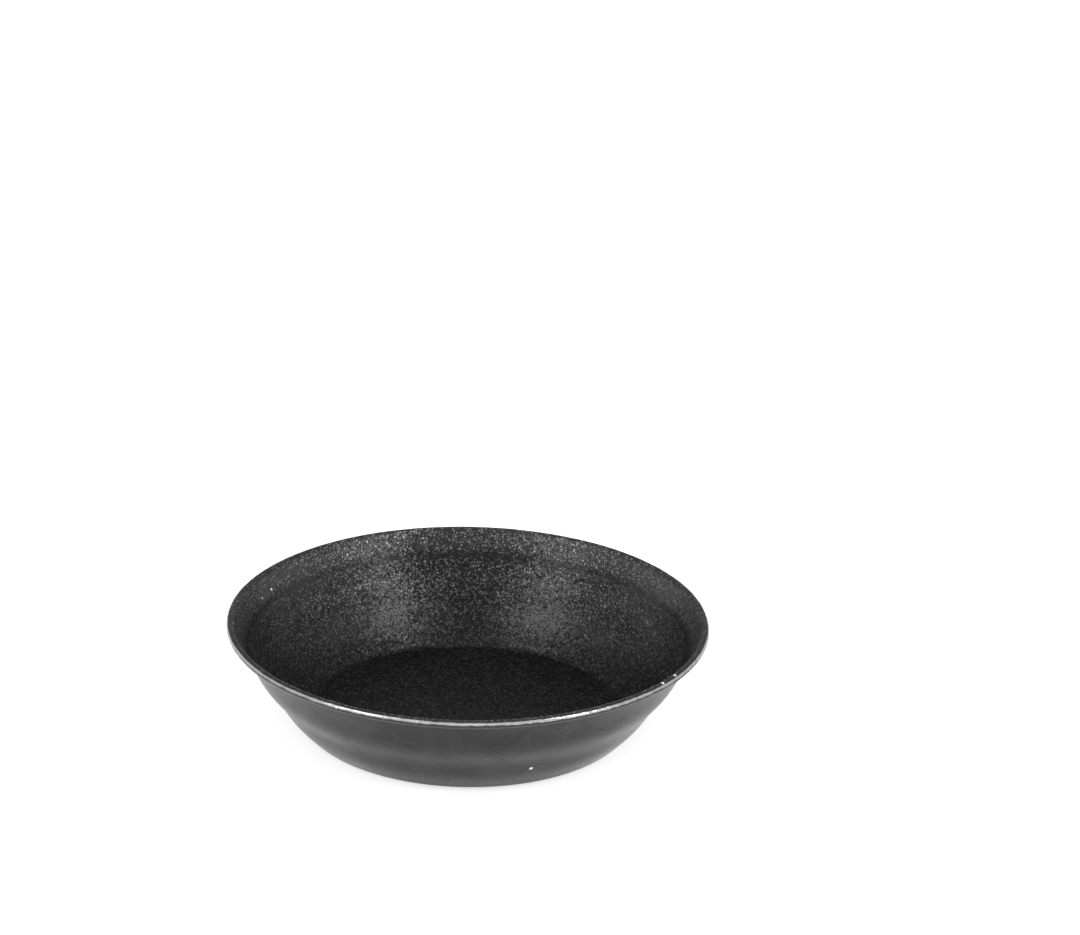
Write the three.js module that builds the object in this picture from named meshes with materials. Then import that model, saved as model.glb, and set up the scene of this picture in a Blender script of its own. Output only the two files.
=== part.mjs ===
// Steel gold pan, about ten inches across: one dished sheet and the stiffening wire rolled into its rim.
// Millimetres, +Z up. The origin is the centre of the underside, so the pan stands on z = 0.

import * as THREE from 'three';

// Driving dimensions
const RIM_RADIUS = 127;             // outside of the rolled rim, a ten inch pan
const PAN_HEIGHT = 56.5;            // underside of the floor to the top of the rolled rim
const SHEET = 0.75;                 // sheet steel, 22 gauge
const FLOOR_RADIUS = 84.2;          // flat part of the floor
const CORNER_RADIUS = 4.9;          // bend between floor and wall, at the middle of the sheet
const WALL_FOOT_SLOPE = 46;         // degrees from level, where the wall leaves the corner
const WALL_TOP_SLOPE = 65;          // degrees from level, where the wall meets the lip
const WALL_WAVE = 0.5;              // how far the wall's shallow pressed waves stand out of its curve
const WALL_WAVE_COUNT = 2;          // whole waves between the corner and the lip
const LIP_SLOPE = 48;               // degrees from level, where the lip enters the rolled rim
const LIP_RADIUS = 8;               // outward bend of the lip above the wall
const WIRE_DIAMETER = 2.4;          // stiffening wire, 3/32 inch
const WIRE_SLACK = 0.25;            // room between the wire and the sheet rolled round it
const ROLL_ANGLE = 285;             // degrees the sheet turns round the wire
const WIRE_JOINT_GAP = 1;           // opening between the two butted ends of the wire

// Fineness of the solids
const TURN_STEPS = 64;              // flats round the pan
const CORNER_STEPS = 4;
const WALL_STEPS = 12;
const LIP_STEPS = 3;
const ROLL_STEPS = 10;
const WIRE_SIDES = 10;

const ROLL_OUTER_RADIUS = WIRE_DIAMETER / 2 + WIRE_SLACK + SHEET;
const ROLL_MID_RADIUS = ROLL_OUTER_RADIUS - SHEET / 2;
const ROLL_CENTRE = new THREE.Vector2(RIM_RADIUS - ROLL_OUTER_RADIUS, PAN_HEIGHT - ROLL_OUTER_RADIUS);

// A unit vector in the section plane, at an angle in degrees above the outward direction.
function heading(degrees) {
  const angle = THREE.MathUtils.degToRad(degrees);
  return new THREE.Vector2(Math.cos(angle), Math.sin(angle));
}

// Points on a round bend, from one angle to another about a centre, without the first point.
function bend(centre, radius, fromDegrees, toDegrees, steps) {
  const points = [];
  for (let i = 1; i <= steps; i += 1) {
    const angle = fromDegrees + ((toDegrees - fromDegrees) * i) / steps;
    points.push(heading(angle).multiplyScalar(radius).add(centre));
  }
  return points;
}

// The wall: one bowed curve from the corner to the lip, with shallow waves that fade out at both ends.
function wall(foot, top) {
  const reach = foot.distanceTo(top) / 3;
  const curve = new THREE.CubicBezierCurve(
    foot,
    heading(WALL_FOOT_SLOPE).multiplyScalar(reach).add(foot),
    heading(WALL_TOP_SLOPE).multiplyScalar(-reach).add(top),
    top,
  );
  const points = [];
  for (let i = 1; i <= WALL_STEPS; i += 1) {
    const along = i / WALL_STEPS;
    const tangent = curve.getTangent(along);
    const outward = new THREE.Vector2(tangent.y, -tangent.x);
    const fade = Math.sin(Math.PI * along);
    const stand = WALL_WAVE * fade * Math.sin(2 * Math.PI * WALL_WAVE_COUNT * along);
    points.push(curve.getPoint(along).add(outward.multiplyScalar(stand)));
  }
  return points;
}

// The middle of the sheet, as radius and height, from the pan's axis to the sheet's cut edge.
function sheetMiddle() {
  const cornerCentre = new THREE.Vector2(FLOOR_RADIUS, SHEET / 2 + CORNER_RADIUS);
  const corner = bend(cornerCentre, CORNER_RADIUS, -90, WALL_FOOT_SLOPE - 90, CORNER_STEPS);
  const lipStart = WALL_TOP_SLOPE + 90;
  const rollStart = LIP_SLOPE + 90;
  const lipCentre = heading(rollStart).multiplyScalar(ROLL_MID_RADIUS - LIP_RADIUS).add(ROLL_CENTRE);
  const lipFoot = heading(lipStart).multiplyScalar(LIP_RADIUS).add(lipCentre);
  return [
    new THREE.Vector2(0, SHEET / 2),
    new THREE.Vector2(FLOOR_RADIUS, SHEET / 2),
    ...corner,
    ...wall(corner.at(-1), lipFoot),
    ...bend(lipCentre, LIP_RADIUS, lipStart, rollStart, LIP_STEPS),
    ...bend(ROLL_CENTRE, ROLL_MID_RADIUS, rollStart, rollStart - ROLL_ANGLE, ROLL_STEPS),
  ];
}

// The middle line moved sideways by a distance: positive is the underside and the outside of the wall.
function faceOfSheet(middle, distance) {
  return middle.map((point, i) => {
    const before = middle[Math.max(i - 1, 0)];
    const after = middle[Math.min(i + 1, middle.length - 1)];
    const into = point.clone().sub(before).normalize();
    const out = after.clone().sub(point).normalize();
    const along = into.clone().add(out).normalize();
    const stretch = distance / Math.max(along.dot(i > 0 ? into : out), 0.5);
    return new THREE.Vector2(point.x + along.y * stretch, point.y - along.x * stretch);
  });
}

// The whole dish turned in one piece: floor, corner, wall, lip and rolled rim.
function panShell() {
  const middle = sheetMiddle();
  const outside = faceOfSheet(middle, SHEET / 2);
  const inside = faceOfSheet(middle, -SHEET / 2).reverse();
  const geometry = new THREE.LatheGeometry([...outside, ...inside], TURN_STEPS);
  geometry.rotateX(Math.PI / 2);
  const mesh = new THREE.Mesh(geometry, blackenedSteel());
  mesh.name = 'pan_shell';
  return mesh;
}

// The wire's centre line, from one butted end round to the other.
class WireRing extends THREE.Curve {
  getPoint(along, target = new THREE.Vector3()) {
    const gap = WIRE_JOINT_GAP / ROLL_CENTRE.x;
    const angle = gap / 2 + along * (2 * Math.PI - gap);
    const radius = ROLL_CENTRE.x;
    return target.set(radius * Math.cos(angle), radius * Math.sin(angle), ROLL_CENTRE.y);
  }
}

// The stiffening wire that the rim is rolled round, with its two ends butted.
function rimWire() {
  const section = new THREE.Shape();
  section.absarc(0, 0, WIRE_DIAMETER / 2, 0, 2 * Math.PI);
  const geometry = new THREE.ExtrudeGeometry(section, {
    steps: TURN_STEPS,
    curveSegments: WIRE_SIDES / 2,
    bevelEnabled: false,
    extrudePath: new WireRing(),
  });
  const mesh = new THREE.Mesh(geometry, bareWire());
  mesh.name = 'rim_wire';
  return mesh;
}

function blackenedSteel() {
  return new THREE.MeshStandardMaterial({ color: 0x262626, roughness: 0.45, metalness: 0.7 });
}

function bareWire() {
  return new THREE.MeshStandardMaterial({ color: 0x8a8a88, roughness: 0.4, metalness: 1 });
}

const goldPan = new THREE.Group();
goldPan.name = 'gold_pan';
goldPan.add(panShell(), rimWire());

export default goldPan;
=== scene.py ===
# A ten inch steel gold pan, blackened all over, with its rim rolled round a stiffening wire.
import math

import bpy
import numpy as np
from mathutils import Matrix, Vector


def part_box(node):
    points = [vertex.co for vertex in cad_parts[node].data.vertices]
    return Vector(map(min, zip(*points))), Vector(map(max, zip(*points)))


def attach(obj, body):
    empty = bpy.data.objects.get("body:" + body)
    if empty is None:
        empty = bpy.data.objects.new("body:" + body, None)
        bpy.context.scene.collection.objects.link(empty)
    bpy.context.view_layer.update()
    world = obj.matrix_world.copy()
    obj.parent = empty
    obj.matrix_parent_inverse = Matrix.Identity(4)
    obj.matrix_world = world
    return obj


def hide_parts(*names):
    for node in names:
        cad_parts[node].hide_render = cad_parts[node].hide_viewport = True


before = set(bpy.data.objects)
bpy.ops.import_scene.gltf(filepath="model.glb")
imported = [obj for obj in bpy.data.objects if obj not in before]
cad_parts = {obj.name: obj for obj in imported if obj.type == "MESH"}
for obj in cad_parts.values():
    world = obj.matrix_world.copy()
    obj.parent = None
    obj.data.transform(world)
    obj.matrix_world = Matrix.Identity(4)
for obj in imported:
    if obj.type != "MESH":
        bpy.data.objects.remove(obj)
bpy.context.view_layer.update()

MM = 0.001
TENTH_OF_MM = 4                     # decimal places of a length in metres
shell_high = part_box("pan_shell")[1]
wire_low, wire_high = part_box("rim_wire")

# Driving sizes, in metres. The rim, the height and the wire are the frame's own. Its solids have flat sides,
# so they are taken to the nearest tenth of a millimetre.
RIM_RADIUS = round(shell_high[0], TENTH_OF_MM)
PAN_HEIGHT = round(shell_high[2], TENTH_OF_MM)
WIRE_RADIUS = round((wire_high[2] - wire_low[2]) / 2, TENTH_OF_MM)
SHEET = 0.75 * MM
FLOOR_RADIUS = 84.2 * MM
CORNER_RADIUS = 4.9 * MM
WALL_FOOT_SLOPE = math.radians(46)
WALL_TOP_SLOPE = math.radians(65)
WALL_WAVE = 0.5 * MM
WALL_WAVE_COUNT = 2
LIP_SLOPE = math.radians(48)
LIP_RADIUS = 8.0 * MM
WIRE_SLACK = 0.25 * MM
ROLL_ANGLE = math.radians(285)
WIRE_JOINT_GAP = 1.0 * MM
LIP_GROOVE_RADIUS = 116.4 * MM      # ring pressed into the inside of the wall, under the lip
LIP_GROOVE_DEPTH = 0.14 * MM
LIP_GROOVE_WIDTH = 0.7 * MM

ROLL_OUTER_RADIUS = WIRE_RADIUS + WIRE_SLACK + SHEET
ROLL_MID_RADIUS = ROLL_OUTER_RADIUS - SHEET / 2
ROLL_CENTRE = np.array([RIM_RADIUS - ROLL_OUTER_RADIUS, PAN_HEIGHT - ROLL_OUTER_RADIUS])

# The cut edge of the sheet has a point at each of these angles, this share of half the sheet from its middle.
CUT_EDGE_ANGLES = np.radians([30, 90, 150])
CUT_EDGE_REACH = np.array([[0.9], [0.35], [0.9]])

# How far the steel is out of true: height, wavelength, count of waves and seed.
WALL_WANDER = (0.10 * MM, 60 * MM, 20, 3)
WALL_RIPPLE = (0.03 * MM, 14 * MM, 20, 4)
RIM_NICKS = (0.05 * MM, 5 * MM, 24, 5)
WALL_TRUE_WIDTH = 25 * MM           # the unevenness grows from nothing over this much of the wall

# Where the finish changes.
ROLL_BAND = np.array([0.8, 0.95, 1.02, 1.25])   # outer face of the roll, in shares of the roll's radius
SHOULDER_ANGLE = 27                 # degrees above level, round the wire, where the rim's wear and painted highlight are strongest
SHOULDER_SPREAD = 28
GRAINLESS_ANGLE = 60                # degrees above level where the grain of the inside has ended
GRAINY_ANGLE = 95                   # and where it is still full
LIP_START = LIP_GROOVE_RADIUS - 1.5 * MM
LIP_FULL = LIP_GROOVE_RADIUS + 5 * MM
FLOOR_FADE = 3 * MM

# Divisions along the section and round the pan.
FLOOR_STEPS = 12
CORNER_STEPS = 8
WALL_STEPS = 36
LIP_STEPS = 5
ROLL_STEPS = 20
TURNS = 576
WIRE_TURNS = 480
WIRE_SIDES = 16


# ---------------------------------------------------------------- shapes

def heading(angle):
    """Unit vectors in the section plane: (cos, sin) of each angle above the outward direction."""
    return np.stack([np.cos(angle), np.sin(angle)], axis=-1)


def bend(centre, radius, start, end, steps):
    """Arc without its first point: centre + radius (cos a, sin a), with a from start to end."""
    return centre + radius * heading(np.linspace(start, end, steps + 1)[1:])


def wall_line(foot, top):
    """Cubic Bezier from foot to top with end slopes given, moved sideways by wave sin(pi t) sin(2 pi n t)."""
    reach = np.linalg.norm(top - foot) / 3
    handle_foot = foot + reach * heading(WALL_FOOT_SLOPE)
    handle_top = top - reach * heading(WALL_TOP_SLOPE)
    t = np.linspace(0, 1, WALL_STEPS + 1)[1:, None]
    u = 1 - t
    line = u**3 * foot + 3 * u**2 * t * handle_foot + 3 * u * t**2 * handle_top + t**3 * top
    tangent = 3 * u**2 * (handle_foot - foot) + 6 * u * t * (handle_top - handle_foot)
    tangent += 3 * t**2 * (top - handle_top)
    tangent /= np.linalg.norm(tangent, axis=1, keepdims=True)
    outward = np.stack([tangent[:, 1], -tangent[:, 0]], axis=1)
    stand = WALL_WAVE * np.sin(math.pi * t) * np.sin(2 * math.pi * WALL_WAVE_COUNT * t)
    return line + outward * stand


def sheet_middle():
    """Radius and height along the middle of the sheet: flat floor, corner, wall, lip, roll round the wire."""
    floor_radius = FLOOR_RADIUS * np.linspace(0, 1, FLOOR_STEPS + 1)
    floor = np.stack([floor_radius, np.full(FLOOR_STEPS + 1, SHEET / 2)], axis=1)
    corner_centre = np.array([FLOOR_RADIUS, SHEET / 2 + CORNER_RADIUS])
    corner_end = WALL_FOOT_SLOPE - math.pi / 2
    corner = bend(corner_centre, CORNER_RADIUS, -math.pi / 2, corner_end, CORNER_STEPS)
    lip_start = WALL_TOP_SLOPE + math.pi / 2
    roll_start = LIP_SLOPE + math.pi / 2
    lip_centre = ROLL_CENTRE + (ROLL_MID_RADIUS - LIP_RADIUS) * heading(roll_start)
    lip_foot = lip_centre + LIP_RADIUS * heading(lip_start)
    wall = wall_line(corner[-1], lip_foot)
    lip = bend(lip_centre, LIP_RADIUS, lip_start, roll_start, LIP_STEPS)
    roll = bend(ROLL_CENTRE, ROLL_MID_RADIUS, roll_start, roll_start - ROLL_ANGLE, ROLL_STEPS)
    return np.concatenate([floor, corner, wall, lip, roll])


def sideways(middle):
    """Vectors square to the line, to its right: the underside of the floor and the outside of the wall.
    At a bend they are longer than 1, so that the moved line keeps its distance."""
    steps = np.diff(middle, axis=0)
    steps /= np.linalg.norm(steps, axis=1, keepdims=True)
    along = np.concatenate([steps[:1], steps[:-1] + steps[1:], steps[-1:]])
    along /= np.linalg.norm(along, axis=1, keepdims=True)
    stretch = np.concatenate([[1.0], np.sum(along[1:-1] * steps[1:], axis=1), [1.0]])[:, None]
    return np.stack([along[:, 1], -along[:, 0]], axis=1) / stretch


def bump_curve(x, centre, width):
    """Smooth hill of height 1: exp(-((x - centre) / width)^2)."""
    return np.exp(-(((x - centre) / width) ** 2))


def ramp(x, low, high):
    """Smooth step from 0 below low to 1 above high: 3 t^2 - 2 t^3."""
    t = np.clip((x - low) / (high - low), 0, 1)
    return t * t * (3 - 2 * t)


def ramp_down(x, low, high):
    """Smooth step from 1 below low to 0 above high."""
    return ramp(-x, -high, -low)


def shell_section():
    """Closed section of the sheet: the outside, the rounded cut edge and the inside, and 1 on the inside."""
    middle = sheet_middle()
    right = sideways(middle)
    outside = middle + right * SHEET / 2
    groove = LIP_GROOVE_DEPTH * bump_curve(middle[:, 0], LIP_GROOVE_RADIUS, LIP_GROOVE_WIDTH)
    on_wall = middle[:, 1] < ROLL_CENTRE[1] - ROLL_OUTER_RADIUS
    inside = middle - right * (SHEET / 2 - groove * on_wall)[:, None]
    edge_angle = np.arctan2(right[-1, 1], right[-1, 0]) + CUT_EDGE_ANGLES
    edge = middle[-1] + SHEET / 2 * heading(edge_angle) * CUT_EDGE_REACH
    section = np.concatenate([outside, edge, inside[::-1]])
    is_inside = np.concatenate([np.zeros(len(outside) + len(edge)), np.ones(len(inside))])
    return section, is_inside


def turn(section, turns):
    """Surface of revolution: (r cos a, r sin a, z) for each angle a and each point (r, z) of the section."""
    angle = np.linspace(0, 2 * math.pi, turns, endpoint=False)[:, None]
    r, z = section[:, 0], section[:, 1]
    return np.stack([r * np.cos(angle), r * np.sin(angle), z + 0 * angle], axis=-1)


def turned_faces(turns, count):
    """Faces of a turned section of count points, its two ends on the axis: quads, and a fan at each end."""
    rows = count - 2
    i = np.arange(turns)[:, None]
    j = np.arange(rows - 1)[None, :]
    a = i * rows + j
    b = ((i + 1) % turns) * rows + j
    quads = np.stack([a, b, b + 1, a + 1], axis=-1).reshape(-1, 4)
    here = i[:, 0] * rows
    there = ((i[:, 0] + 1) % turns) * rows
    first = turns * rows
    last = first + 1
    bottom = np.stack([np.full(turns, first), there, here], axis=1)
    top = np.stack([here + rows - 1, there + rows - 1, np.full(turns, last)], axis=1)
    return quads.tolist() + bottom.tolist() + top.tolist()


def waves(points, height, length, count, seed):
    """Smooth unevenness: the height times the sum of that many cosines over the square root of their count.
    Each cosine runs in a random direction, with a random start and about the wavelength given."""
    rng = np.random.default_rng(seed)
    direction = rng.normal(size=(count, 3))
    direction /= np.linalg.norm(direction, axis=1, keepdims=True)
    number = 2 * math.pi / (length * rng.uniform(0.7, 1.5, count))
    phase = rng.uniform(0, 2 * math.pi, count)
    total = np.cos(points @ (direction * number[:, None]).T + phase).sum(axis=1)
    return height * (total / math.sqrt(count))


def make_piece(name, points, faces, masks=None):
    """A mesh object at the origin, smooth shaded, with each mask stored as a value on its points."""
    mesh = bpy.data.meshes.new(name)
    mesh.from_pydata(points.tolist(), [], faces)
    mesh.polygons.foreach_set("use_smooth", np.ones(len(mesh.polygons), bool))
    for mask, values in (masks or {}).items():
        mesh.attributes.new(mask, "FLOAT", "POINT").data.foreach_set("value", values.astype(np.float32))
    mesh.update()
    piece = bpy.data.objects.new(name, mesh)
    bpy.context.scene.collection.objects.link(piece)
    return piece


def fine_shell():
    """The dish as one closed sheet: the section turned round the axis, then pushed slightly out of true."""
    section, is_inside = shell_section()
    grid = turn(section[1:-1], TURNS).reshape(-1, 3)
    poles = np.array([[0, 0, section[0, 1]], [0, 0, section[-1, 1]]])
    points = np.concatenate([grid, poles])
    inner = np.concatenate([np.tile(is_inside[1:-1], TURNS), [0, 1]])
    radius = np.linalg.norm(points[:, :2], axis=1)
    height = points[:, 2]

    from_roll = np.hypot(radius - ROLL_CENTRE[0], height - ROLL_CENTRE[1])
    band = ROLL_OUTER_RADIUS * ROLL_BAND
    on_roll = ramp(from_roll, band[0], band[1]) * ramp_down(from_roll, band[2], band[3])
    round_roll = np.degrees(np.arctan2(height - ROLL_CENTRE[1], radius - ROLL_CENTRE[0]))
    up_wall = ramp(radius, FLOOR_RADIUS, FLOOR_RADIUS + WALL_TRUE_WIDTH)
    push = waves(points, *WALL_WANDER) * up_wall
    push += waves(points, *WALL_RIPPLE) * up_wall
    nick = waves(points, *RIM_NICKS) * on_roll
    direction = points[:, :2] / np.maximum(radius, 1e-6)[:, None]
    points[:, :2] += direction * (push + nick)[:, None]

    masks = {
        "inside": inner,
        "rim_shoulder": bump_curve(round_roll, SHOULDER_ANGLE, SHOULDER_SPREAD) * on_roll,
        "lip": ramp(radius, LIP_START, LIP_FULL) * inner,
        "lip_groove": bump_curve(radius, LIP_GROOVE_RADIUS, LIP_GROOVE_WIDTH) * inner,
        "rolled": on_roll * ramp_down(round_roll, GRAINLESS_ANGLE, GRAINY_ANGLE),
        "flat_floor": ramp_down(radius, FLOOR_RADIUS, FLOOR_RADIUS + FLOOR_FADE),
    }
    return make_piece("pan_shell_sheet", points, turned_faces(TURNS, len(section)), masks)


def fine_wire():
    """The wire ring: a circle of its radius carried round the rim, with a small gap where its ends butt."""
    gap = WIRE_JOINT_GAP / ROLL_CENTRE[0]
    around = np.linspace(gap / 2, 2 * math.pi - gap / 2, WIRE_TURNS)[:, None]
    side = np.linspace(0, 2 * math.pi, WIRE_SIDES, endpoint=False)
    r = ROLL_CENTRE[0] + WIRE_RADIUS * np.cos(side)
    z = ROLL_CENTRE[1] + WIRE_RADIUS * np.sin(side)
    points = np.stack([r * np.cos(around), r * np.sin(around), z + 0 * around], axis=-1).reshape(-1, 3)
    i = np.arange(WIRE_TURNS - 1)[:, None] * WIRE_SIDES
    j = np.arange(WIRE_SIDES)[None, :]
    k = (j + 1) % WIRE_SIDES
    quads = np.stack([i + j, i + WIRE_SIDES + j, i + WIRE_SIDES + k, i + k], axis=-1).reshape(-1, 4)
    first_end = list(range(WIRE_SIDES))
    last_end = list(range(len(points) - 1, len(points) - WIRE_SIDES - 1, -1))
    return make_piece("rim_wire_ring", points, quads.tolist() + [first_end, last_end])


# ---------------------------------------------------------------- node helpers

def add(tree, kind, **properties):
    """A node of that kind with its properties set."""
    made = tree.nodes.new(kind)
    for name, value in properties.items():
        setattr(made, name, value)
    return made


def feed(tree, target, source):
    """Puts a number or colour on an input, or joins another node's output to it."""
    if isinstance(source, bpy.types.NodeSocket):
        tree.links.new(source, target)
    elif source is not None:
        target.default_value = source


def maths(tree, operation, a, b=None, c=None, clamp=False):
    made = add(tree, "ShaderNodeMath", operation=operation, use_clamp=clamp)
    for target, source in zip(made.inputs, (a, b, c)):
        feed(tree, target, source)
    return made.outputs[0]


def product(tree, *values):
    """All the values multiplied together."""
    total = values[0]
    for value in values[1:]:
        total = maths(tree, "MULTIPLY", total, value)
    return total


def vector_maths(tree, operation, a, b=None, scale=None):
    """The result of a vector operation, a vector or else a number where the operation gives one."""
    made = add(tree, "ShaderNodeVectorMath", operation=operation)
    feed(tree, made.inputs[0], a)
    feed(tree, made.inputs[1], b)
    feed(tree, made.inputs[3], scale)
    return made.outputs["Value" if operation == "DISTANCE" else "Vector"]


def span(tree, value, low, high, out_low=0.0, out_high=1.0, smooth=True):
    """Takes a value from one range to another, held at the ends."""
    made = add(tree, "ShaderNodeMapRange", interpolation_type="SMOOTHSTEP" if smooth else "LINEAR")
    for target, source in zip(made.inputs, (value, low, high, out_low, out_high)):
        feed(tree, target, source)
    return made.outputs[0]


def blend(tree, share, out_low, out_high, smooth=False):
    """Goes from one number to another as the share goes from 0 to 1."""
    return span(tree, share, 0.0, 1.0, out_low, out_high, smooth)


def mix_colour(tree, share, a, b):
    made = add(tree, "ShaderNodeMix", data_type="RGBA")
    feed(tree, made.inputs["Factor"], share)
    feed(tree, made.inputs[6], a)
    feed(tree, made.inputs[7], b)
    return made.outputs[2]


def noise(tree, place, scale, detail=2.0, roughness=0.5):
    made = add(tree, "ShaderNodeTexNoise")
    feed(tree, made.inputs["Vector"], place)
    feed(tree, made.inputs["Scale"], scale)
    feed(tree, made.inputs["Detail"], detail)
    feed(tree, made.inputs["Roughness"], roughness)
    return made.outputs["Fac"]


def random_cells(tree, place, size):
    """Cells of about that size, each with a random colour: the outputs of the pattern."""
    cells = add(tree, "ShaderNodeTexVoronoi", feature="F1")
    feed(tree, cells.inputs["Vector"], place)
    feed(tree, cells.inputs["Scale"], maths(tree, "DIVIDE", 1.0, size))
    return cells.outputs


def mask(tree, name):
    return add(tree, "ShaderNodeAttribute", attribute_name=name).outputs["Fac"]


def place_on(tree):
    return add(tree, "ShaderNodeTexCoord").outputs["Object"]


def new_group(name, inputs, outputs):
    """An empty shader node group with named sockets: the group, what comes in, and where its results go."""
    group = bpy.data.node_groups.new(name, "ShaderNodeTree")
    for label, kind, value in inputs:
        socket = group.interface.new_socket(label, in_out="INPUT", socket_type=kind)
        if value is not None:
            socket.default_value = value
    for label, kind in outputs:
        group.interface.new_socket(label, in_out="OUTPUT", socket_type=kind)
    entry = group.nodes.new("NodeGroupInput")
    leave = group.nodes.new("NodeGroupOutput")
    return group, entry.outputs, leave.inputs


def use_group(tree, group, **values):
    made = add(tree, "ShaderNodeGroup")
    made.node_tree = group
    for name, value in values.items():
        feed(tree, made.inputs[name.replace("_", " ")], value)
    return made.outputs


def new_material(name):
    material = bpy.data.materials.new(name)
    material.use_nodes = True
    tree = material.node_tree
    return material, tree, tree.nodes["Principled BSDF"].inputs


# ---------------------------------------------------------------- shared effects

def fleck_group():
    """Small bright flecks: dots in some cells of a random pattern, each of its own brightness."""
    core = 0.4                      # share of a dot that is at full brightness
    contrast = 2.2                  # the higher it is, the fewer the dots that are bright
    group, inputs, outputs = new_group(
        "steel flecks",
        [("Place", "NodeSocketVector", None), ("Spacing", "NodeSocketFloat", 0.0014),
         ("Share", "NodeSocketFloat", 0.3), ("Dot size", "NodeSocketFloat", 0.3)],
        [("Flecks", "NodeSocketFloat")],
    )
    cells = random_cells(group, inputs["Place"], inputs["Spacing"])
    parts = add(group, "ShaderNodeSeparateColor")
    feed(group, parts.inputs[0], cells["Color"])
    chosen = maths(group, "LESS_THAN", parts.outputs[0], inputs["Share"])
    edge = maths(group, "MULTIPLY", inputs["Dot size"], core)
    dot = span(group, cells["Distance"], edge, inputs["Dot size"], 1.0, 0.0)
    bright = maths(group, "POWER", parts.outputs[1], contrast)
    feed(group, outputs["Flecks"], product(group, dot, chosen, bright))
    return group


def facet_group():
    """Fine grain whose every grain faces its own way: random vectors in two sizes of cell, added together."""
    sizes = (1.0, 2.1)
    centre = (0.5, 0.5, 0.5)
    group, inputs, outputs = new_group(
        "grain facets",
        [("Place", "NodeSocketVector", None), ("Grain size", "NodeSocketFloat", 0.0006)],
        [("Tilt", "NodeSocketVector")],
    )
    tilts = []
    for times in sizes:
        size = maths(group, "MULTIPLY", inputs["Grain size"], times)
        cells = random_cells(group, inputs["Place"], size)
        tilts.append(vector_maths(group, "SUBTRACT", cells["Color"], centre))
    feed(group, outputs["Tilt"], vector_maths(group, "ADD", *tilts))
    return group


def unevenness_group():
    """Cloudy variation over a surface: broad clouds with a finer mottle over them, 0 to 1."""
    group, inputs, outputs = new_group(
        "uneven finish",
        [("Place", "NodeSocketVector", None), ("Cloud size", "NodeSocketFloat", 0.03),
         ("Mottle size", "NodeSocketFloat", 0.003), ("Mottle", "NodeSocketFloat", 0.4)],
        [("Tone", "NodeSocketFloat")],
    )
    broad = noise(group, inputs["Place"], maths(group, "DIVIDE", 1.0, inputs["Cloud size"]), 3.0)
    fine = noise(group, inputs["Place"], maths(group, "DIVIDE", 1.0, inputs["Mottle size"]), 2.0)
    finer = maths(group, "MULTIPLY", maths(group, "SUBTRACT", fine, 0.5), inputs["Mottle"])
    total = maths(group, "ADD", span(group, broad, 0.3, 0.7), finer, clamp=True)
    feed(group, outputs["Tone"], total)
    return group


FLECKS = fleck_group()
FACETS = facet_group()
UNEVEN = unevenness_group()


# ---------------------------------------------------------------- finishes

def grey(level):
    """A plain grey colour of that level."""
    return level, level, level, 1


INSIDE_BLACKS = (grey(0.002), grey(0.004))
LIP_BLACK = grey(0.020)
OUTSIDE_BLACKS = (grey(0.001), grey(0.012))     # clean and smudged
# Painted shade: a darker, fleckless line in the pressed ring under the lip.
GROOVE_PAINTED_SHADE = grey(0.003)
FLECK_GREY = grey(0.55)
# Bare steel of the rim line, which is partly real wear and partly a painted highlight along the rim's
# shoulder.
WORN_STEEL_AND_HIGHLIGHT = (0.50, 0.495, 0.49, 1)
CHIPPED_STEEL = (0.72, 0.71, 0.70, 1)
WIRE_GREYS = (grey(0.10), (0.32, 0.32, 0.31, 1))
FLOOR_GREYS = (grey(0.71), grey(0.73))

COATING_IOR = 1.38
COATING_ROUGHNESS = (0.31, 0.24)    # from the dark clouds of the coating to the light ones
WIRE_ROUGHNESS = (0.5, 0.32)
GROOVE_SHADE_SHARE = 0.8                  # how fully the ring under the lip takes its painted shade
GRAIN_SIZE = 0.68 * MM
GRAIN_INSIDE = 0.18                 # how far the grains of the coating lean, as a slope
GRAIN_OUTSIDE = 0.02
SMUDGES_PER_METRE = 55.0
RELIEF_PER_METRE = 500.0
RELIEF_HEIGHT = 0.2 * MM
RAGGED_NOISE_PER_METRE = 260.0              # raggedness of the rim line, worn steel and painted highlight, and of the chipped places
WEAR_AND_HIGHLIGHT_RAGGED = 0.7
WORN_AND_HIGHLIGHT_METAL = 0.5                    # how metallic the rim line is, worn steel and painted highlight
CHIPPED_METAL = 0.2                 # share of the metallic look that is left in a chip
WORN_AND_HIGHLIGHT_POLISH = 0.08                  # how much smoother the rim line, worn steel and painted highlight, is than the coating
CHIP_CORE = 0.75                    # share of a chip's size that is fully bare

# Zones of the pan, each with how much of an effect is there at its start and at its end.
# The rim line is partly worn steel and partly painted highlight, strongest at the front of the pan.
FRONT_ZONE = (-0.95 * RIM_RADIUS, -0.6 * RIM_RADIUS)        # from the front of the rim back towards its sides
RUBBED_AND_HIGHLIT_ALONG_FRONT = (1.0, 0.5)
# Painted shade: the bright flecks and the grain are cut back towards the left and right ends to match how the
# light falls there; the coat itself is likely even all round.
SIDE_ZONE = (0.5 * RIM_RADIUS, 0.9 * RIM_RADIUS)            # out towards the left and right ends
DIMMED_FOR_LIGHT_TO_SIDE = (1.0, 0.5)
WALL_ZONE = (0.05 * PAN_HEIGHT, 0.7 * PAN_HEIGHT)           # up the wall
FLECKS_UP_WALL = (0.35, 1.1)
FLECKS_TO_LIP = (0.52, 0.60)
FLECKS_TO_FLOOR = (1.0, 0.65)
FINE_FLECKS_TO_LIP = (0.6, 0.8)
GRAIN_TO_ROLL = (1.0, 0.1)

# Levels of a pattern between which the effect goes from none to full.
WORN_AND_HIGHLIGHT_LEVELS = (0.52, 0.9)
SHOULDER_LEVELS = (0.05, 0.3)
SMUDGE_LEVELS = (0.42, 0.68)

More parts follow.
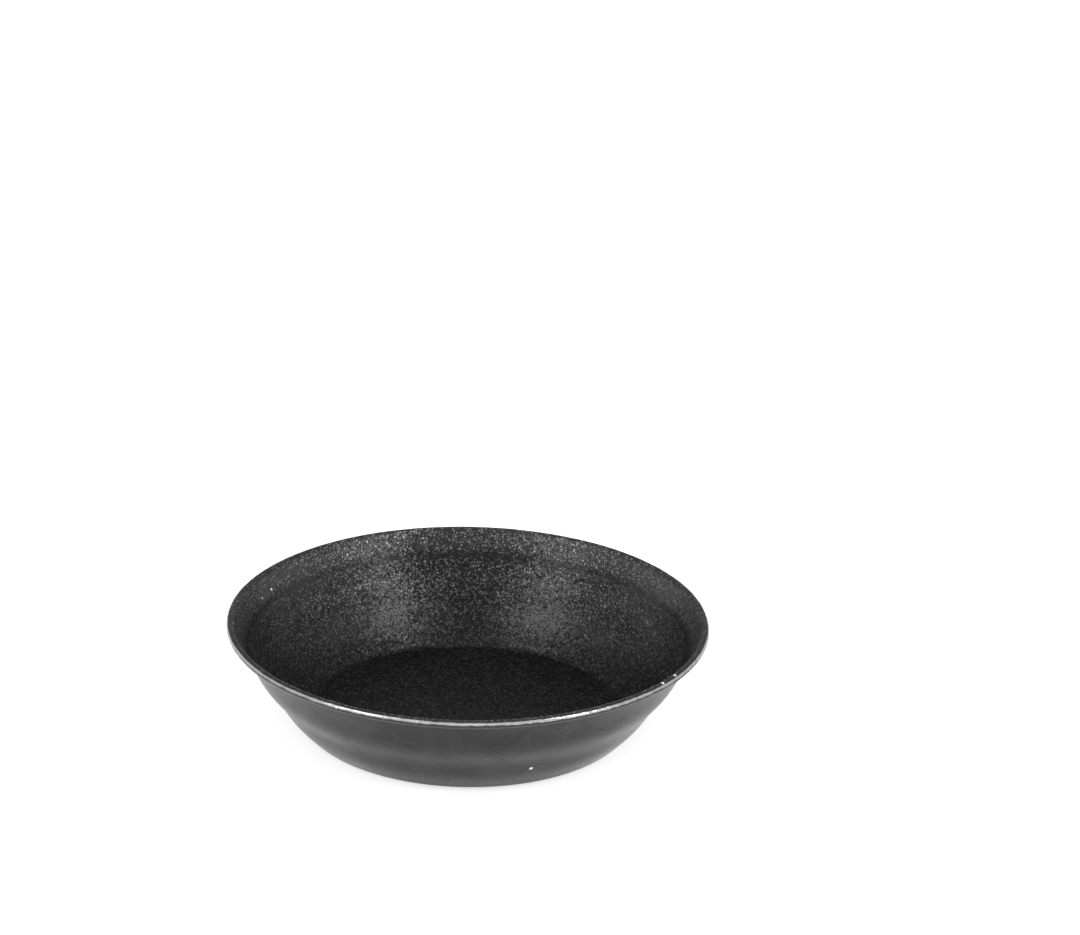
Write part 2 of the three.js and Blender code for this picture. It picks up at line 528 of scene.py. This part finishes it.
FINE_FLECKS = {"Spacing": 1.0 * MM, "Share": 0.85, "Dot_size": 0.7}
COARSE_FLECKS = {"Spacing": 2.2 * MM, "Share": 0.25, "Dot_size": 0.32}
COATING_CLOUDS = {"Cloud_size": 45 * MM, "Mottle_size": 4 * MM, "Mottle": 0.6}
WIRE_CLOUDS = {"Cloud_size": 8 * MM, "Mottle_size": 0.8 * MM, "Mottle": 0.8}
FLOOR_CLOUDS = {"Cloud_size": 0.6, "Mottle_size": 0.02, "Mottle": 0.1}


def at(azimuth, radius, height):
    """A place on the pan in metres, from degrees round from its right side, and radius and height in mm."""
    angle = math.radians(azimuth)
    return radius * MM * math.cos(angle), radius * MM * math.sin(angle), height * MM


# Places where the black is chipped off, how large each is, and the face of the sheet it is on.
CHIPS = [
    (at(-70.5, 99.7, 15.6), 2.9 * MM, "outside"),
    (at(-37.6, 125.6, 56.2), 3.1 * MM, "inside"),
    (at(-32.2, 125.4, 56.3), 2.0 * MM, "inside"),
    (at(-121.0, 126.9, 55.2), 1.5 * MM, "inside"),
    (at(159.0, 118.6, 47.4), 1.8 * MM, "inside"),
    (at(153.5, 118.9, 48.0), 1.9 * MM, "inside"),
]


def worn_and_highlit_rim(tree, rim, ragged_noise, y):
    """Where the shoulder of the rim is bright: partly rubbed to bare steel, partly a painted highlight, most
    of all at the front of the pan.
    """
    ragged = maths(tree, "MULTIPLY", maths(tree, "SUBTRACT", ragged_noise, 0.5), WEAR_AND_HIGHLIGHT_RAGGED)
    worn_and_highlit = maths(tree, "ADD", rim, ragged)
    rubbed_and_highlit = span(tree, y, *FRONT_ZONE, *RUBBED_AND_HIGHLIT_ALONG_FRONT)
    return product(tree, span(tree, worn_and_highlit, *WORN_AND_HIGHLIGHT_LEVELS), rubbed_and_highlit, span(tree, rim, *SHOULDER_LEVELS))


def fleck_cover(tree, place, z, lip, floor, grainy, ends_dimmed_for_light):
    """Bright flecks of the inside: more towards the rim, fewer on the floor, and fewer at the pan's two ends
    as painted shade matched to the light there.
    """
    fine = use_group(tree, FLECKS, Place=place, **FINE_FLECKS)["Flecks"]
    coarse = use_group(tree, FLECKS, Place=place, **COARSE_FLECKS)["Flecks"]
    up_wall = span(tree, z, *WALL_ZONE, *FLECKS_UP_WALL)
    on_lip = blend(tree, lip, *FLECKS_TO_LIP, smooth=True)
    on_floor = blend(tree, floor, *FLECKS_TO_FLOOR, smooth=True)
    grains = maths(tree, "MULTIPLY", fine, blend(tree, lip, *FINE_FLECKS_TO_LIP, smooth=True))
    flecks = maths(tree, "MAXIMUM", grains, coarse)
    return product(tree, flecks, on_lip, up_wall, on_floor, ends_dimmed_for_light, grainy)


def chipped_places(tree, place, ragged_noise, inside):
    """1 in the ragged chips of the coating, each on its own face of the sheet."""
    faces = {"inside": inside, "outside": maths(tree, "SUBTRACT", 1.0, inside)}
    chipped = 0.0
    for centre, size, face in CHIPS:
        from_centre = vector_maths(tree, "DISTANCE", place, centre)
        ragged = maths(tree, "MULTIPLY_ADD", ragged_noise, size, from_centre)
        chip = maths(tree, "MULTIPLY", span(tree, ragged, size * CHIP_CORE, size, 1.0, 0.0), faces[face])
        chipped = maths(tree, "MAXIMUM", chipped, chip)
    return chipped


def leaning_normal(tree, place, grainy, ends_dimmed_for_light):
    """The surface's own direction, leant over grain by grain, with a fine relief over it."""
    facing = use_group(tree, FACETS, Place=place, Grain_size=GRAIN_SIZE)["Tilt"]
    amount = blend(tree, grainy, GRAIN_OUTSIDE, GRAIN_INSIDE)
    leaning = vector_maths(tree, "SCALE", facing, scale=maths(tree, "MULTIPLY", amount, ends_dimmed_for_light))
    normal = vector_maths(tree, "ADD", add(tree, "ShaderNodeNewGeometry").outputs["Normal"], leaning)
    relief = add(tree, "ShaderNodeBump")
    relief.inputs["Strength"].default_value = 1.0
    relief.inputs["Distance"].default_value = RELIEF_HEIGHT
    feed(tree, relief.inputs["Height"], noise(tree, place, RELIEF_PER_METRE, 2.0, 0.6))
    feed(tree, relief.inputs["Normal"], vector_maths(tree, "NORMALIZE", normal))
    return relief.outputs[0]


def blackened_steel():
    """Thin black coating: grainy and flecked inside, smudged outside, chipped to bright steel. Its bright rim
    line is partly worn steel and partly painted highlight, and painted shade darkens the ring under the lip
    and the two ends.
    """
    material, tree, shader = new_material("blackened_steel")
    place = place_on(tree)
    along = add(tree, "ShaderNodeSeparateXYZ")
    feed(tree, along.inputs[0], place)
    x, y, z = along.outputs
    inside = mask(tree, "inside")
    lip = mask(tree, "lip")
    rim = mask(tree, "rim_shoulder")
    groove = mask(tree, "lip_groove")
    floor = mask(tree, "flat_floor")
    grainy = maths(tree, "MULTIPLY", inside, blend(tree, mask(tree, "rolled"), *GRAIN_TO_ROLL))
    to_side = maths(tree, "ABSOLUTE", x)
    # painted shade at the two ends, matched to the light there rather than to the coat
    ends_dimmed_for_light = span(tree, to_side, *SIDE_ZONE, *DIMMED_FOR_LIGHT_TO_SIDE)
    ragged_noise = noise(tree, place, RAGGED_NOISE_PER_METRE, 2.0, 0.55)
    tone = use_group(tree, UNEVEN, Place=place, **COATING_CLOUDS)["Tone"]

    # the rim's bright line: partly worn steel, partly painted highlight
    worn_and_highlit = worn_and_highlit_rim(tree, rim, ragged_noise, y)
    flecks = fleck_cover(tree, place, z, lip, floor, grainy, ends_dimmed_for_light)
    chipped = chipped_places(tree, place, ragged_noise, inside)

    inner = mix_colour(tree, lip, mix_colour(tree, tone, *INSIDE_BLACKS), LIP_BLACK)
    smudge = span(tree, noise(tree, place, SMUDGES_PER_METRE, 3.0, 0.6), *SMUDGE_LEVELS)
    outer = mix_colour(tree, smudge, *OUTSIDE_BLACKS)
    base = mix_colour(tree, inside, outer, inner)
    base = mix_colour(tree, flecks, base, FLECK_GREY)
    # painted shade in the ring under the lip
    base = mix_colour(tree, maths(tree, "MULTIPLY", groove, GROOVE_SHADE_SHARE), base, GROOVE_PAINTED_SHADE)
    base = mix_colour(tree, worn_and_highlit, base, WORN_STEEL_AND_HIGHLIGHT)
    base = mix_colour(tree, chipped, base, CHIPPED_STEEL)
    feed(tree, shader["Base Color"], base)

    metal = maths(tree, "MAXIMUM", maths(tree, "MULTIPLY", worn_and_highlit, WORN_AND_HIGHLIGHT_METAL), flecks)
    metal = maths(tree, "MULTIPLY", metal, blend(tree, chipped, 1.0, CHIPPED_METAL, smooth=True))
    feed(tree, shader["Metallic"], metal)
    polish = maths(tree, "MULTIPLY", worn_and_highlit, WORN_AND_HIGHLIGHT_POLISH)
    rough = maths(tree, "SUBTRACT", blend(tree, tone, *COATING_ROUGHNESS), polish)
    feed(tree, shader["Roughness"], rough)
    shader["IOR"].default_value = COATING_IOR
    feed(tree, shader["Normal"], leaning_normal(tree, place, grainy, ends_dimmed_for_light))
    return material


def bare_wire():
    """Drawn steel wire, dull grey with darker scale."""
    material, tree, shader = new_material("bare_wire")
    place = place_on(tree)
    tone = use_group(tree, UNEVEN, Place=place, **WIRE_CLOUDS)["Tone"]
    feed(tree, shader["Base Color"], mix_colour(tree, tone, *WIRE_GREYS))
    feed(tree, shader["Roughness"], blend(tree, tone, *WIRE_ROUGHNESS))
    shader["Metallic"].default_value = 1.0
    return material


def pale_floor():
    """Matt white studio floor that glows a little, so that it meets the white backdrop without an edge."""
    material, tree, shader = new_material("pale_floor")
    place = place_on(tree)
    tone = use_group(tree, UNEVEN, Place=place, **FLOOR_CLOUDS)["Tone"]
    feed(tree, shader["Base Color"], mix_colour(tree, tone, *FLOOR_GREYS))
    shader["Roughness"].default_value = 0.7
    shader["Specular IOR Level"].default_value = 0.0
    shader["Emission Color"].default_value = (1, 1, 1, 1)
    shader["Emission Strength"].default_value = 0.58
    return material


# ---------------------------------------------------------------- studio

CAMERA_LENS = 128.4                 # mm
CAMERA_AWAY = 2.032                 # from a point on the axis, just under the rim
CAMERA_ABOVE = math.radians(24.08)
CAMERA_SWING = math.radians(1.108)  # turned to the right
CAMERA_DIP = math.radians(21.771)   # turned down
CAMERA_ROLL = math.radians(-1.41)
CAMERA_TARGET_DROP = 1.8 * MM       # how far that point is under the top of the pan

FLOOR_HALF = 12.0
WORLD_FOR_SURFACES = 0.68           # strength of the backdrop
WORLD_IN_REFLECTIONS = 0.23

# Soft boxes: name, degrees round from the front, degrees up, width and height in metres, and watts.
LIGHT_AWAY = 1.6
SOFT_BOXES = [
    ("left_softbox", -53, 38, (0.62, 1.05), 10.0),
    ("right_softbox", 55, 38, (0.30, 1.05), 10.5),
    ("left_fill", -115, 11, (1.0, 0.5), 1.8),
    ("left_side", -92, 24, (0.55, 0.8), 1.7),
    ("right_fill", 112, 11, (1.0, 0.5), 1.5),
    ("right_side", 92, 24, (0.55, 0.8), 1.8),
    ("front_strip", 0, 30, (1.0, 0.22), 1.2),
    ("overhead", 0, 84, (1.2, 0.5), 1.6),
]


def make_camera():
    """Looks down on the pan from in front, from two metres, turned a little to the right of the pan."""
    flat = math.cos(CAMERA_DIP)
    forward = Vector((math.sin(CAMERA_SWING) * flat, math.cos(CAMERA_SWING) * flat, -math.sin(CAMERA_DIP)))
    level = Vector((math.cos(CAMERA_SWING), -math.sin(CAMERA_SWING), 0))
    down = forward.cross(level)
    right = level * math.cos(CAMERA_ROLL) + down * math.sin(CAMERA_ROLL)
    up = level * math.sin(CAMERA_ROLL) - down * math.cos(CAMERA_ROLL)
    data = bpy.data.cameras.new("camera")
    data.lens = CAMERA_LENS
    data.clip_start = 0.05
    data.clip_end = 50
    camera = bpy.data.objects.new("camera", data)
    turned = Matrix((right, up, -forward)).transposed().to_4x4()
    height = CAMERA_AWAY * math.sin(CAMERA_ABOVE) + (PAN_HEIGHT - CAMERA_TARGET_DROP)
    where = Vector((0, -CAMERA_AWAY * math.cos(CAMERA_ABOVE), height))
    camera.matrix_world = Matrix.Translation(where) @ turned
    bpy.context.scene.collection.objects.link(camera)
    bpy.context.scene.camera = camera


def soft_light(name, azimuth, elevation, size, power):
    """A soft box that faces the pan. Azimuth 0 is in front of the pan and 90 is on its right."""
    data = bpy.data.lights.new(name, "AREA")
    data.shape = "RECTANGLE"
    data.energy = power
    data.size, data.size_y = size
    light = bpy.data.objects.new(name, data)
    a = math.radians(azimuth)
    e = math.radians(elevation)
    back = Vector((math.sin(a) * math.cos(e), -math.cos(a) * math.cos(e), math.sin(e)))
    light.location = back * LIGHT_AWAY
    light.rotation_mode = "QUATERNION"
    light.rotation_quaternion = back.to_track_quat("Z", "Y")
    bpy.context.scene.collection.objects.link(light)


def make_studio():
    """The floor, the white backdrop, dimmer in reflections, and the soft boxes."""
    corners = [(-1, -1), (1, -1), (1, 1), (-1, 1)]
    mesh = bpy.data.meshes.new("floor")
    mesh.from_pydata([(x * FLOOR_HALF, y * FLOOR_HALF, 0) for x, y in corners], [], [(0, 1, 2, 3)])
    floor = bpy.data.objects.new("floor", mesh)
    bpy.context.scene.collection.objects.link(floor)
    mesh.materials.append(pale_floor())

    world = bpy.data.worlds.new("studio")
    world.use_nodes = True
    tree = world.node_tree
    backdrop = tree.nodes["Background"].inputs
    backdrop["Color"].default_value = (1, 1, 1, 1)
    glossy = add(tree, "ShaderNodeLightPath").outputs["Is Glossy Ray"]
    feed(tree, backdrop["Strength"], blend(tree, glossy, WORLD_FOR_SURFACES, WORLD_IN_REFLECTIONS))
    bpy.context.scene.world = world

    for box in SOFT_BOXES:
        soft_light(*box)
    bpy.context.scene.view_settings.view_transform = "Standard"


# ---------------------------------------------------------------- the pan

make_camera()
make_studio()

shell = fine_shell()
shell.data.materials.append(blackened_steel())
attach(shell, "root")
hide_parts("pan_shell")

wire = fine_wire()
wire.data.materials.append(bare_wire())
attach(wire, "root")
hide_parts("rim_wire")
